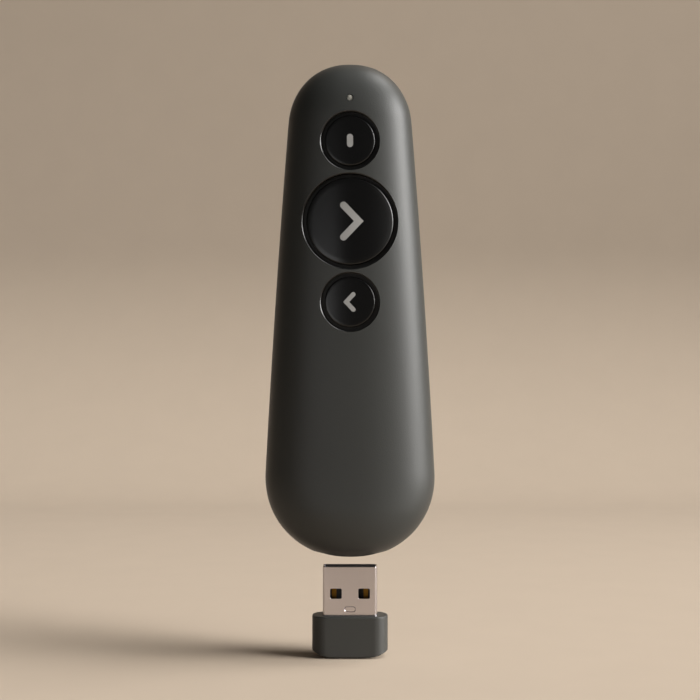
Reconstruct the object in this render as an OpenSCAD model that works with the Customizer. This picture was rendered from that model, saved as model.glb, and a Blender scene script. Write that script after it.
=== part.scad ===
// Wireless presentation remote with a storable USB receiver.
// +X is to the right, -Y is the button face, +Z is up; the receiver stands on z = 0.
// Depths of the remote are counted from its parting plane, + to the back.

/* [Remote body] */
// Length of the remote
body_l = 109; // [105:0.5:125]
// Width between the flanks, extended down to the lower tip
flank_low_w = 39.2; // [37:0.1:42]
// Width between the flanks, extended up to the upper tip
flank_top_w = 25.1; // [24.4:0.1:28]
// Outward bow of each flank at half length
flank_bow = 0.53; // [0:0.01:1]
// Height of the rounded lower end, seen from the front
low_round_h = 19; // [15:0.5:24]
// Height of the rounded upper end, seen from the front
top_round_h = 13.2; // [11:0.1:16]
// Depth in front of the parting plane, extended to the lower tip
front_low_d = 11; // [10.6:0.1:12.5]
// Depth in front of the parting plane, extended to the upper tip
front_top_d = 8; // [7.7:0.1:9.5]
// Largest depth behind the parting plane
back_d = 15; // [14.6:0.1:17]
// Depth that the back has lost at the upper tip
back_fall = 6.8; // [4:0.1:7.2]
// Height above the lower tip where the back is fullest
back_full_h = 30; // [26:1:36]
// Height of the rounded ends, seen from the side
end_round_d = 12.5; // [11:0.5:15]
// Wall thickness of the shells
wall = 1.8; // [1.5:0.1:2.1]
// Shadow gap between the two shells
seam_gap = 0.2; // [0.1:0.05:0.3]

/* [Buttons] */
// Distance of the laser button's centre below the upper tip
laser_drop = 17.8; // [16.8:0.1:18.8]
// Distance between the wells of neighbouring buttons
well_space = 0.85; // [0.7:0.05:1.3]
// Radius of the two small caps
small_cap_r = 5.45; // [5.2:0.05:5.8]
// Radius of the large cap
large_cap_r = 9.45; // [9:0.05:9.7]
// Gap between a cap and the wall of its well
well_gap = 0.85; // [0.5:0.05:1]
// Depth of a cap's face below the front of the body
cap_sink = 0.35; // [0.2:0.05:0.6]
// Thickness of a cap at its thinnest edge
cap_edge = 0.55; // [0.4:0.05:0.8]
// Travel of a button
button_travel = 0.5; // [0.3:0.05:0.6]
// Radius of the stem that presses the switch
stem_r = 1.3; // [1:0.1:1.5]
// Thickness of a well's floor
floor_t = 0.8; // [0.6:0.1:1]

/* [Marks and light] */
// Width of the large chevron's stroke
chevron_stroke = 1.5; // [1:0.05:1.8]
// Half height of the large chevron, between its stroke ends
chevron_h = 3.45; // [2.5:0.05:4]
// Run of the large chevron, from its ends to its point
chevron_run = 3.3; // [2.5:0.05:4]
// Width of the small chevron's stroke
small_stroke = 0.95; // [0.7:0.05:1.2]
// Half height of the small chevron, between its stroke ends
small_chevron_h = 1.65; // [1.2:0.05:2]
// Run of the small chevron, from its ends to its point
small_chevron_run = 1.55; // [1.2:0.05:2]
// Height of the laser mark
pill_h = 2.9; // [2:0.1:3.5]
// Width of the laser mark
pill_w = 1.35; // [1:0.05:1.8]
// Depth of the inlaid marks
mark_t = 0.4; // [0.2:0.05:0.5]
// Distance of the status light below the upper tip
led_drop = 8.5; // [8:0.1:9]
// Radius of the status light's pin
led_r = 0.66; // [0.4:0.02:0.7]

/* [Batteries] */
// Radius of an AAA cell
cell_r = 5.2; // [5.1:0.05:5.25]
// Length of an AAA cell, with its nub
cell_l = 44.5; // [43.5:0.1:44.6]
// Distance of each cell's axis from the middle
cell_x = 5.6; // [5.4:0.05:5.7]
// Distance from the receiver's sleeve to the battery bay
bay_space = 2.45; // [2.2:0.05:2.7]
// Compressed length of a contact spring
spring_l = 5.2; // [4.6:0.1:5.4]
// Diameter of the spring wire
spring_wire = 0.5; // [0.4:0.05:0.6]
// Turns of a contact spring
spring_turns = 4; // [3:1:5]

/* [Battery door] */
// How far the door reaches below the battery bay
door_below = 6.7; // [6.4:0.1:7]
// How far the door reaches above the battery bay
door_above = 5; // [4.6:0.1:5.4]
// Half width of the door at its lower edge
door_low_w = 14; // [13.5:0.1:14.3]
// Half width of the door at its upper edge
door_top_w = 11.8; // [11.6:0.1:12]
// Corner radius of the door
door_corner = 4; // [3:0.5:5]
// Thickness of the door
door_t = 1.6; // [1.4:0.1:1.7]
// Gap all round the door
door_gap = 0.25; // [0.2:0.05:0.3]
// Radius of the hinge knuckle
knuckle_r = 0.5; // [0.4:0.05:0.6]
// Half length of the hinge knuckle
knuckle_w = 5; // [3:0.5:5]

/* [Receiver] */
// Width of the receiver's housing
receiver_w = 16.7; // [16:0.1:17.2]
// Depth of the receiver's housing
receiver_d = 7.5; // [7.2:0.1:7.8]
// Height of the receiver's housing
receiver_h = 9; // [8.6:0.1:9.4]
// Corner radius of the housing, seen from above
receiver_corner = 3.2; // [2:0.1:3.5]
// Height of the rounding under the housing's ends
receiver_round = 1.3; // [0.8:0.1:1.6]
// Chamfer around the housing's upper rim
receiver_chamfer = 0.4; // [0.2:0.05:0.6]
// Width of the USB plug
plug_w = 12; // [11.9:0.05:12.1]
// Depth of the USB plug
plug_d = 4.5; // [4.4:0.05:4.6]
// Length of the plug that stands out of the housing
plug_l = 10.8; // [10.6:0.1:11.8]
// Thickness of the plug's sheet metal
plug_t = 0.32; // [0.25:0.01:0.4]
// Gap between the plug's tip and the remote above it
hover = 1.75; // [0.8:0.05:3]
// Clearance around the stored receiver
dock_gap = 0.3; // [0.2:0.05:0.4]
// Depth that the stored receiver sinks into the remote
dock_sink = 0.35; // [0.1:0.05:0.6]

/* [Hidden] */
$fn = 64;

soft_black = [0.17, 0.17, 0.16];
gloss_black = [0.05, 0.05, 0.05];
silver_grey = [0.66, 0.64, 0.61];
inner_plastic = [0.12, 0.12, 0.13];
board_green = [0.05, 0.28, 0.16];
chip_black = [0.08, 0.08, 0.09];
nickel = [0.72, 0.68, 0.63];
brass = [0.78, 0.62, 0.3];
gold = [0.85, 0.66, 0.3];

laser_h = body_l - laser_drop;
next_h = laser_h - small_cap_r - large_cap_r - 2 * well_gap - well_space;
previous_h = next_h - small_cap_r - large_cap_r - 2 * well_gap - well_space;
led_h = body_l - led_drop;

// ---- Form of the body -------------------------------------------------------------------
low_exp = 2.03;      // squareness of the lower end, seen from the front
top_exp = 2.2;       // squareness of the upper end
front_exp = 2.3;     // squareness of a cross-section, in front
back_exp = 2.2;      // squareness of a cross-section, at the back
side_exp = 2.1;      // squareness of both ends, seen from the side
rows = 40;           // rings along the body
columns = 20;        // facets across each half
tip = 0.03;          // height left flat at each tip

function rounding(u, e) = pow(1 - pow(1 - max(0, min(1, u)), e), 1 / e);
function flank(t) = let (s = t / body_l)
    flank_low_w / 2 * (1 - s) + flank_top_w / 2 * s + flank_bow * (1 - pow(2 * s - 1, 2));
function ends(t, i, low, top, le, te) =
    rounding((t - i) / (low - i), le) * rounding((body_l - i - t) / (top - i), te);
// half width, front depth and back depth at height t, for a surface i inside the outer one
function half_w(t, i = 0) = (flank(t) - i) * ends(t, i, low_round_h, top_round_h, low_exp, top_exp);
function front_of(t, i = 0) = (front_low_d + (front_top_d - front_low_d) * t / body_l - i)
    * ends(t, i, end_round_d, end_round_d, side_exp, side_exp);
function back_of(t, i = 0) =
    (back_d - back_fall * pow(max(0, t - back_full_h) / (body_l - back_full_h), 2) - i)
    * ends(t, i, end_round_d, end_round_d, side_exp, side_exp);
// depth of the front or back surface at (x, t), and half width at depth d
function bulge(x, w, d, e) = d * pow(max(0, 1 - pow(min(1, abs(x) / w), e)), 1 / e);
function front_at(x, t, i = 0) = bulge(x, half_w(t, i), front_of(t, i), front_exp);
function back_at(x, t, i = 0) = bulge(x, half_w(t, i), back_of(t, i), back_exp);
function width_at(d, t, i = 0) = d < 0
    ? bulge(d, front_of(t, i), half_w(t, i), front_exp)
    : bulge(d, back_of(t, i), half_w(t, i), back_exp);

heights = [for (k = [0:rows]) body_l * (1 - cos(180 * k / rows)) / 2];
// the parting plane stands where the whole depth is centred on y = 0
seam_y = (max([for (t = heights) front_of(t)]) - max([for (t = heights) back_of(t)])) / 2;
lift = receiver_h + plug_l + hover;

module at(x, t, d) { translate([x, seam_y + d, lift + t]) children(); }
// a round bar from depth d0 back to depth d1
module bar(r, d0, d1, x = 0, t = 0) { at(x, t, d0) rotate([-90, 0, 0]) cylinder(r = r, h = d1 - d0); }
// a plain block between two corners (x, t, d)
module block(a, b) { at(a[0], a[1], a[2]) cube([b[0] - a[0], b[2] - a[2], b[1] - a[1]]); }
// a flat plate with outline points (x, t), from depth d0 to d1
module plate(d0, d1, points) {
    at(0, 0, d1) rotate([90, 0, 0]) linear_extrude(d1 - d0) polygon(points);
}
// an outline from half widths: [[t, w], ...]
function both_sides(half) = concat(
    [for (p = half) [p[1], p[0]]],
    [for (k = [len(half) - 1:-1:0]) [-half[k][1], half[k][0]]]);

// One half of the body as a shell: side = -1 in front, 1 at the back.
module half_shell(side) {
    n = columns + 1;
    inner = (rows + 1) * n;
    function depth_of(t, i) = side < 0 ? front_of(t, i) : back_of(t, i);
    function ring(t, i) = let (e = side < 0 ? front_exp : back_exp) [
        for (j = [0:columns]) let (c = cos(180 * j / columns), s = sin(180 * j / columns))
            [sign(c) * half_w(t, i) * pow(abs(c), 2 / e),
             seam_y + side * (seam_gap / 2 + depth_of(t, i) * pow(max(0, s), 2 / e)),
             lift + t]];
    function skin(i) = [for (k = [0:rows])
        each ring(i + tip + (body_l - 2 * (i + tip)) * heights[k] / body_l, i)];
    function tri(a, b, c, d) = [[a, b, c], [a, c, d]];
    skins = [for (k = [0:rows - 1], j = [0:columns - 1]) let (p = k * n + j)
        each concat(tri(p, p + 1, p + n + 1, p + n),
                    tri(inner + p + n, inner + p + n + 1, inner + p + 1, inner + p))];
    rims = [for (k = [0:rows - 1]) let (p = k * n, q = k * n + columns)
        each concat(tri(p + n, inner + p + n, inner + p, p),
                    tri(q, inner + q, inner + q + n, q + n))];
    last = rows * n;
    tips = concat(
        [for (j = [1:columns - 1]) [0, j + 1, j]],
        [for (j = [1:columns - 1]) [last, last + j, last + j + 1]],
        [for (j = [1:columns - 1]) [inner, inner + j, inner + j + 1]],
        [for (j = [1:columns - 1]) [inner + last, inner + last + j + 1, inner + last + j]],
        tri(0, inner, inner + columns, columns),
        tri(last, last + columns, inner + last + columns, inner + last));
    faces = concat(skins, rims, tips);
    polyhedron(concat(skin(0), skin(wall)),
               side < 0 ? faces : [for (f = faces) [f[2], f[1], f[0]]]);
}

// ---- Dock for the receiver -----------------------------------------------------------------
sleeve_t = 1;
slot_w = receiver_w / 2 + dock_gap;
slot_d = receiver_d / 2 + dock_gap;
receiver_full = receiver_h + plug_l;
slot_top = dock_sink + receiver_full + 0.6;
sleeve_low = 4.5;

// ---- Stack behind the buttons, as depths from the parting plane ---------------------------
board_t = 1;
plate_t = 0.8;
touch = 0.15;                                   // clearance between still pieces
cell_d = 4;                                     // depth of the cells' axes
plate_back = cell_d - cell_r - touch;
plate_front = plate_back - plate_t;
board_front = plate_front - board_t;
switch_t = 1;
plunger_out = 0.4;
switch_w = 5.2;
plunger_d = board_front - switch_t - plunger_out;   // where the stems meet the plungers
bay_plate_t = 0.3;
bay_wall = 1;
bay_h = slot_top + sleeve_t + bay_space;        // lower face of the bay's lower end wall
bay_low = bay_h + bay_wall + bay_plate_t;       // where the cells' stack begins
bay_top = bay_low + spring_l + cell_l;
bay_end = bay_top + bay_plate_t + bay_wall;     // upper face of the bay's upper end wall
door_low_h = bay_h - door_below;
door_top_h = bay_end + door_above;

// ---- Screws: two under each end of the door ------------------------------------------------
boss_r = 1.8;                                   // boss of the front shell
shank_r = 0.8;
head_r = 1.45;
head_t = 1;
post_r = head_r + touch + 0.75;                 // hollow post of the back shell
low_screw = [slot_w + sleeve_t + touch + post_r, door_low_h + 3.3];
top_screw = [8.2, door_top_h - 2.3];
screw_spots = [for (p = [low_screw, top_screw], s = [-1, 1]) [s * p[0], p[1]]];
head_seat = plate_back + 1;
deck_t = 1.2;
deck_low_d = 7;         // front faces of the two decks that the posts carry
deck_top_d = 5.95;
// a boss ends in the front wall, or on the floor of the next button's well
function boss_front(p) = norm([p[0], p[1] - next_h]) < large_cap_r + well_gap
    ? floor_back(next_h, large_cap_r) - 0.2
    : -front_at(abs(p[0]) + boss_r, p[1]) + 0.5;

// ---- Buttons --------------------------------------------------------------------------------
// The front is treated as a round bar of radius crown_r near each button.
function drop(t, r) = front_at(0, t) - front_at(r, t);
function crown_r(t, r) = (r * r + pow(drop(t, r), 2)) / (2 * drop(t, r));
function lean(t) = atan((front_at(0, t - 3) - front_at(0, t + 3)) / 6);
function well_r(r) = r + well_gap;
function cap_back(t, r) = -front_at(0, t) + cap_sink + drop(t, r) + cap_edge;
function floor_front(t, r) = cap_back(t, r) + button_travel + touch;
function floor_back(t, r) = floor_front(t, r) + floor_t;
leg_t = 0.9;
leg_w = 2;
leg_hook = 0.4;
hook_t = 0.6;
function leg_out(r) = r - 1.3;

// everything more than i behind the front surface around a button
module under_crown(t, r, i) {
    c = crown_r(t, r);
    at(0, t, -front_at(0, t) + i) rotate([-lean(t), 0, 0])
        translate([0, c, -25]) cylinder(r = c, h = 50, $fn = 360);
}

module well_cup(t, r) {
    intersection() {
        bar(well_r(r) + 0.9, -front_at(0, t), floor_back(t, r), 0, t);
        under_crown(t, well_r(r), wall / 2);
    }
}

module well_bores(t, r) {
    bar(well_r(r), -front_at(0, t) - 3, floor_front(t, r), 0, t);
    bar(stem_r + 0.3, floor_front(t, r) - 1, floor_back(t, r) + 1, 0, t);
    for (s = [-1, 1]) mirror_z(t, s)
        block([-leg_w / 2 - 0.3, t + leg_out(r) - leg_t - 0.3, floor_front(t, r) - 1],
              [leg_w / 2 + 0.3, t + leg_out(r) + 0.1, floor_back(t, r) + 1]);
}

// mirrors about the height t when s is -1
module mirror_z(t, s) {
    translate([0, 0, lift + t]) mirror([0, 0, s < 0 ? 1 : 0]) translate([0, 0, -lift - t]) children();
}

module cap(t, r) {
    difference() {
        union() {
            intersection() {
                bar(r, -front_at(0, t), cap_back(t, r), 0, t);
                under_crown(t, r, cap_sink);
            }
            bar(stem_r, cap_back(t, r) - 0.4, plunger_d, 0, t);
            for (s = [-1, 1]) mirror_z(t, s) {
                block([-leg_w / 2, t + leg_out(r) - leg_t, cap_back(t, r) - 0.4],
                      [leg_w / 2, t + leg_out(r), floor_back(t, r) + 0.1 + hook_t]);
                block([-leg_w / 2, t + leg_out(r) - leg_t, floor_back(t, r) + 0.1],
                      [leg_w / 2, t + leg_out(r) + leg_hook, floor_back(t, r) + 0.1 + hook_t]);
            }
        }
        children();
    }
}

// an inlay of a 2D outline (x right, y up) in the face of a cap
module inlay(t, r, proud) {
    intersection() {
        at(0, t, -front_at(0, t) + cap_sink + mark_t) rotate([90, 0, 0])
            linear_extrude(mark_t + 1) children();
        under_crown(t, r, cap_sink - proud);
    }
}

function arc(x, y, r, from, to) = [for (k = [0:12])
    let (a = from + (to - from) * k / 12) [x + r * cos(a), y + r * sin(a)]];

// a chevron that points right: square corner in front, round ends behind
module chevron(h, run, w) {
    a = atan2(h, run);
    back = -run / 2;
    point = w / 2 / sin(a);
    polygon(concat(
        [[run / 2 + point, 0]], arc(back, h, w / 2, 90 - a, 270 - a),
        [[run / 2 - point, 0]], arc(back, -h, w / 2, 90 + a, 270 + a)));
}

module next_outline() { translate([0.25, 0]) chevron(chevron_h, chevron_run, chevron_stroke); }
module previous_outline() {
    mirror([1, 0]) translate([0.05, 0]) chevron(small_chevron_h, small_chevron_run, small_stroke);
}
module pill_outline() {
    h = (pill_h - pill_w) / 2;
    polygon(concat(arc(0, h, pill_w / 2, 0, 180), arc(0, -h, pill_w / 2, 180, 360)));
}

module tact_switch(t) {
    difference() {
        union() {
            block([-switch_w / 2, t - switch_w / 2, board_front - switch_t * 0.75],
                  [switch_w / 2, t + switch_w / 2, board_front]);
            bar(switch_w / 2 - 0.3, board_front - switch_t, board_front, 0, t);
        }
        bar(stem_r + 0.15, board_front - switch_t - 1, board_front - 0.2, 0, t);
    }
}

module plunger(t) {
    bar(stem_r, plunger_d, board_front - 0.2 - button_travel - 0.05, 0, t);
}

// ---- Shells ---------------------------------------------------------------------------------
module dock_cut() {
    block([-slot_w, -5, -slot_d], [slot_w, sleeve_low + 1, slot_d]);
    grow = sleeve_t + 0.1;
    block([-slot_w - grow, sleeve_low - 0.1, -slot_d - grow],
          [slot_w + grow, slot_top + grow, slot_d + grow]);
}

module front_shell() color(soft_black) difference() {
    union() {
        half_shell(-1);
        well_cup(laser_h, small_cap_r);
        well_cup(next_h, large_cap_r);
        well_cup(previous_h, small_cap_r);
        for (p = screw_spots) bar(boss_r, boss_front(p), plate_front, p[0], p[1]);
        bar(led_r + 1.1, -front_at(0, led_h, wall) - 0.6, board_front - 1, 0, led_h);
    }
    well_bores(laser_h, small_cap_r);
    well_bores(next_h, large_cap_r);
    well_bores(previous_h, small_cap_r);
    for (p = screw_spots) bar(shank_r + 0.02, boss_front(p) + 0.3, 0, p[0], p[1]);
    bar(led_r + 0.06, -20, 0, 0, led_h);
    dock_cut();
}

laser_d = 2.8;
aperture_r = 1.6;
window_r = 2;
window_t = 1.2;
// the window sits in a boss that ends just under the back's surface
window_boss_r = window_r + 0.65;
window_boss_top = max([for (t = [body_l - end_round_d:0.1:body_l])
    if (back_at(0, t, 0.5) > laser_d + window_boss_r) t]);
window_low = window_boss_top - window_t - 0.5;

// outline of the door, grown by g: a tapered plate with round corners
function door_side(t) = door_low_w
    + (door_top_w - door_low_w) * (t - door_low_h) / (door_top_h - door_low_h);
function door_half(t, g = 0) = let (
        r = door_corner + g,
        e = max(0, r - min(t - door_low_h + g, door_top_h + g - t)))
    door_side(t) + g - r + sqrt(max(0, r * r - e * e));
function door_heights(g = 0) = let (lo = door_low_h - g, hi = door_top_h + g, r = door_corner + g)
    concat([for (k = [0:5]) lo + r * (1 - cos(90 * k / 6))],
           [for (k = [0:10]) lo + r + (hi - lo - 2 * r) * k / 10],
           [for (k = [5:-1:0]) hi - r * (1 - cos(90 * k / 6))]);
function door_outline(g) = both_sides([for (t = door_heights(g)) [t, door_half(t, g)]]);

hinge_t = door_low_h + knuckle_r + 0.02;
hinge_d = back_at(knuckle_w, hinge_t) - knuckle_r + 0.1;

// a deck joins the shell's wall past the door, and stays clear of the door beneath it
module deck(t0, t1, d) {
    steps = 24;
    function beneath(t) = t > door_low_h - door_gap && t < door_top_h + door_gap;
    plate(d, d + deck_t, both_sides([for (k = [0:steps])
        let (t = t0 + (t1 - t0) * k / steps)
            [t, min(width_at(d + deck_t, t, wall / 2), width_at(d, t, wall / 2),
                    beneath(t) ? width_at(d + deck_t + 0.3, t, door_t) : body_l)]]));
}

deck_low = [door_low_h - 2.3, bay_h - 0.3];
deck_top = [bay_end + 0.4, door_top_h + 4.8];
latch_t = 1;
latch_w = 3;
latch_low = door_top_h - 2.6;

module back_shell() color(soft_black) difference() {
    union() {
        difference() {
            half_shell(1);
            plate(0, back_d + 2, door_outline(door_gap));
        }
        deck(deck_low[0], deck_low[1], deck_low_d);
        deck(deck_top[0], deck_top[1], deck_top_d);
        for (p = screw_spots)
            bar(post_r, plate_back, (p[1] < bay_low ? deck_low_d : deck_top_d) + 0.2, p[0], p[1]);
        at(0, window_low - 0.8, laser_d) cylinder(r = window_boss_r, h = window_boss_top - window_low + 0.8);
    }
    for (p = screw_spots) {
        bar(shank_r + 0.2, plate_back - 1, back_d, p[0], p[1]);
        bar(head_r + touch, head_seat, back_d + 2, p[0], p[1]);
    }
    at(0, window_low, laser_d) cylinder(r = aperture_r, h = 9);
    at(0, window_low - 2, laser_d) cylinder(r = window_r + 0.05, h = 2 + window_t);
    at(-knuckle_w - 0.3, hinge_t, hinge_d) rotate([0, 90, 0])
        cylinder(r = knuckle_r * 2, h = 2 * knuckle_w + 0.6);
    block([-latch_w - 0.4, latch_low - 0.4, deck_top_d - 1],
          [latch_w + 0.4, latch_low + latch_t + 0.6, deck_top_d + deck_t + 1]);
    dock_cut();
}

// ---- Battery door ---------------------------------------------------------------------------
module door_panel() {
    across = 14;
    ts = door_heights();
    n = across + 1;
    m = len(ts);
    function sheet(i) = [for (t = ts, j = [0:across]) let (x = door_half(t) * (2 * j / across - 1))
        [x, seam_y + seam_gap / 2 + back_at(x, t, i), lift + t]];
    function tri(a, b, c, d) = [[a, b, c], [a, c, d]];
    low = n * m;
    faces = concat(
        [for (k = [0:m - 2], j = [0:across - 1]) let (p = k * n + j)
            each concat(tri(p, p + n, p + n + 1, p + 1),
                        tri(low + p + 1, low + p + n + 1, low + p + n, low + p))],
        [for (k = [0:m - 2]) let (p = k * n, q = k * n + across)
            each concat(tri(p + n, p, low + p, low + p + n), tri(q, q + n, low + q + n, low + q))],
        [for (j = [0:across - 1]) let (p = j, q = (m - 1) * n + j)
            each concat(tri(p, p + 1, low + p + 1, low + p), tri(q + 1, q, low + q, low + q + 1))]);
    polyhedron(concat(sheet(0), sheet(door_t)), [for (f = faces) [f[2], f[1], f[0]]]);
}

tab_x = 8;
tab_w = 3;
tab_back = back_at(tab_x + tab_w / 2, door_low_h - 2, wall) - 0.25;

module battery_door() color(soft_black) {
    difference() {
        door_panel();
        block([-knuckle_w - 0.2, door_low_h - 1, hinge_d - knuckle_r / 2],
              [knuckle_w + 0.2, hinge_t, back_d + 2]);
        bar(4, back_at(0, door_top_h) - 0.7, back_d, 0, door_top_h + 1.8);
    }
    at(-knuckle_w, hinge_t, hinge_d) rotate([0, 90, 0]) cylinder(r = knuckle_r, h = 2 * knuckle_w);
    for (s = [-1, 1]) {
        block([s * tab_x - tab_w / 2, door_low_h - 2, tab_back - 0.9],
              [s * tab_x + tab_w / 2, door_low_h + 2.2, tab_back]);
        block([s * tab_x - tab_w / 2, door_low_h + 0.4, tab_back - 0.9],
              [s * tab_x + tab_w / 2, door_low_h + 2.2, back_at(tab_x + tab_w / 2, door_low_h) - 0.5]);
    }
    block([-latch_w, latch_low, deck_top_d + 0.2],
          [latch_w, latch_low + latch_t, back_at(latch_w, door_top_h) - 0.6]);
}

pad_t = 1;
pad_w = 3.2;
pad_l = 26;
module door_pad() color(chip_black) {
    t0 = (bay_low + bay_top - pad_l) / 2;
    d = min(back_at(0, t0, door_t), back_at(0, t0 + pad_l, door_t)) - 0.1;
    block([-pad_w / 2, t0, d - pad_t], [pad_w / 2, t0 + pad_l, d]);
}

// ---- Chassis, board and electronics ---------------------------------------------------------
laser_l = 13.5;
laser_low = window_low - 2.2 - laser_l;
barrel_r = 3;
slot_spots = [-cell_x, cell_x];
foot_w = 4.7;

module chassis() color(inner_plastic) difference() {
    top = body_l - 5.5;
    union() {
        plate(plate_front, plate_back, both_sides([for (k = [0:12])
            let (t = bay_h + (top - bay_h) * k / 12)
                [t, width_at(plate_front, t, wall) - 0.5]]));
        for (s = [-1, 1]) {
            block([s * low_screw[0] - foot_w / 2 + s * 0.6, low_screw[1] - 2.8, plate_front],
                  [s * low_screw[0] + foot_w / 2 + s * 0.6, bay_h + 0.5, plate_back]);
            block([s < 0 ? -cell_x - cell_r - 1.1 : cell_x + cell_r + 0.2, bay_h, plate_back - 0.2],
                  [s < 0 ? -cell_x - cell_r - 0.2 : cell_x + cell_r + 1.1,
                   bay_end, cell_d - 1.4]);
        }
        for (t = [bay_h, bay_top + bay_plate_t])
            block([-cell_x - cell_r - 1.1, t, plate_back - 0.2],
                  [cell_x + cell_r + 1.1, t + bay_wall, cell_d - 1.4]);
        for (t = [bay_h, bay_top + bay_plate_t])
            block([-cell_x - 2.6, t, cell_d - 2], [cell_x + 2.6, t + bay_wall, cell_d + 2.6]);
        block([-0.3, bay_h + 8, plate_back - 0.2], [0.3, bay_top - 8, cell_d - 3.2]);
        for (t = [laser_low + 1, laser_low + laser_l - 3.5])
            block([-barrel_r - 1, t, plate_back - 0.2], [barrel_r + 1, t + 2, laser_d]);
    }
    for (p = screw_spots) bar(shank_r + 0.2, plate_front - 1, plate_back + 1, p[0], p[1]);
    at(0, laser_low - 2, laser_d) cylinder(r = barrel_r + 0.05, h = laser_l + 4);
    for (x = slot_spots)
        block([x - 1.3, bay_top - 0.2, plate_front - 1],
              [x + 1.3, bay_top + bay_plate_t + 0.01, plate_back + 0.01]);
}

board_low = previous_h - 9.7;
board_top = body_l - 5;

module circuit_board() color(board_green) difference() {
    plate(board_front, plate_front, both_sides([for (k = [0:14])
        let (t = board_low + (board_top - board_low) * k / 14,
             w = width_at(board_front, t, wall) - 0.7)
            [t, w]]));
    for (p = screw_spots) bar(boss_r + 0.3, board_front - 1, plate_front + 1, p[0], p[1]);
    for (x = slot_spots)
        block([x - 1.3, bay_top - 0.2, board_front - 1],
              [x + 1.3, bay_top + bay_plate_t + 0.2, plate_front + 1]);
}

radio_w = 5;
crystal_l = 3.2;
crystal_w = 2.5;
small_part_w = 0.8;
parts_h = top_screw[1] - boss_r - 2;            // the parts beside the buttons stay below this

module chip(x, t, w, l, h) {
    block([x - w / 2, t - l / 2, board_front - h], [x + w / 2, t + l / 2, board_front]);
}

module board_chips() color(chip_black) {
    side = switch_w / 2 + radio_w / 2 + 1;
    radio_h = parts_h - 2 * radio_w;
    chip(-side, radio_h, radio_w, radio_w, 0.9);
    chip(side, radio_h, crystal_l, crystal_w, 0.7);
    chip(side, radio_h - 1.6 * crystal_w, crystal_w, crystal_w * 0.8, 0.8);
    for (s = [-1, 1], k = [0:2])
        chip(s * (side + 0.7 * radio_w), radio_h + 0.85 * radio_w + 2.75 * small_part_w * k,
             2 * small_part_w, small_part_w, 0.6);
    for (s = [-1, 1])
        chip(s * side, laser_h + 0.7 * radio_w, 2.5 * small_part_w, 1.5 * small_part_w, 0.6);
}

module laser_switch() color(nickel) tact_switch(laser_h);
module next_switch() color(nickel) tact_switch(next_h);
module previous_switch() color(nickel) tact_switch(previous_h);
module laser_plunger() color(gloss_black) plunger(laser_h);
module next_plunger() color(gloss_black) plunger(next_h);
module previous_plunger() color(gloss_black) plunger(previous_h);

led_t = 0.6;
module status_led() color("white")
    block([-0.8, led_h - 0.4, board_front - led_t], [0.8, led_h + 0.4, board_front]);

module led_light_pipe() color([0.6, 0.6, 0.57]) {
    bar(led_r, -front_at(0, led_h) + 0.08, board_front - led_t - 0.05, 0, led_h);
}

module laser_barrel() color(brass) difference() {
    at(0, laser_low, laser_d) cylinder(r = barrel_r, h = laser_l);
    at(0, laser_low - 1, laser_d) cylinder(r = 2.3, h = 3);
    at(0, laser_low + 1, laser_d) cylinder(r = 1.9, h = laser_l - 4);
    at(0, laser_low + laser_l - 4, laser_d) cylinder(r = 1.2, h = 5);
    at(0, laser_low + laser_l - 1.5, laser_d) cylinder(r = 2, h = 3);
}

module laser_diode() color(gold) {
    at(0, laser_low + 1, laser_d) cylinder(r = 2.25, h = 1);
    at(0, laser_low + 1.9, laser_d) cylinder(r = 1.6, h = 2.2);
    for (a = [0:120:240]) at(0, laser_low + 1.1, laser_d) rotate(a) translate([1, 0, -3])
        cylinder(r = 0.22, h = 3, $fn = 24);
}

module laser_lens() color([0.75, 0.85, 0.9]) at(0, laser_low + laser_l - 1.5, laser_d) {
    cylinder(r = 1.95, h = 0.7);
    translate([0, 0, 0.7 - 3.1]) intersection() {
        sphere(r = 3.6);
        translate([0, 0, 3]) cylinder(r = 1.8, h = 1);
    }
}

module laser_window() color([0.55, 0.1, 0.1]) at(0, window_low, laser_d) cylinder(r = window_r, h = window_t);

// ---- Batteries and contacts -----------------------------------------------------------------
nub_l = 0.8;
module cell() {
    can = cell_l - nub_l;
    rotate_extrude() polygon([[0, 0], [cell_r - 0.6, 0], [cell_r, 0.5], [cell_r, can - 0.5],
        [cell_r - 0.5, can], [1.9, can], [1.9, cell_l], [0, cell_l]]);
}
module battery_left() color(soft_black) at(-cell_x, bay_low + spring_l, cell_d) cell();
module battery_right() color(soft_black) at(cell_x, bay_low + cell_l, cell_d) mirror([0, 0, 1]) cell();

// A conical coil of round wire: 8 rings a turn, 6 sides.
coil_low_r = 3.4;
coil_top_r = 2.2;
rings_per_turn = 8;
coil_rise = spring_l - spring_wire - 0.04;
function coil_at(q) = let (a = 360 * q * spring_turns, r = coil_low_r + (coil_top_r - coil_low_r) * q)
    [r * cos(a), r * sin(a), 0.02 + spring_wire / 2 + coil_rise * q];
function coil_gap() = min([for (q = [0:0.01:1 - 1 / spring_turns])
    norm(coil_at(q + 1 / spring_turns) - coil_at(q))]) - spring_wire;
echo(str("least gap of a contact spring to itself, mm: ", coil_gap()));

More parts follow.
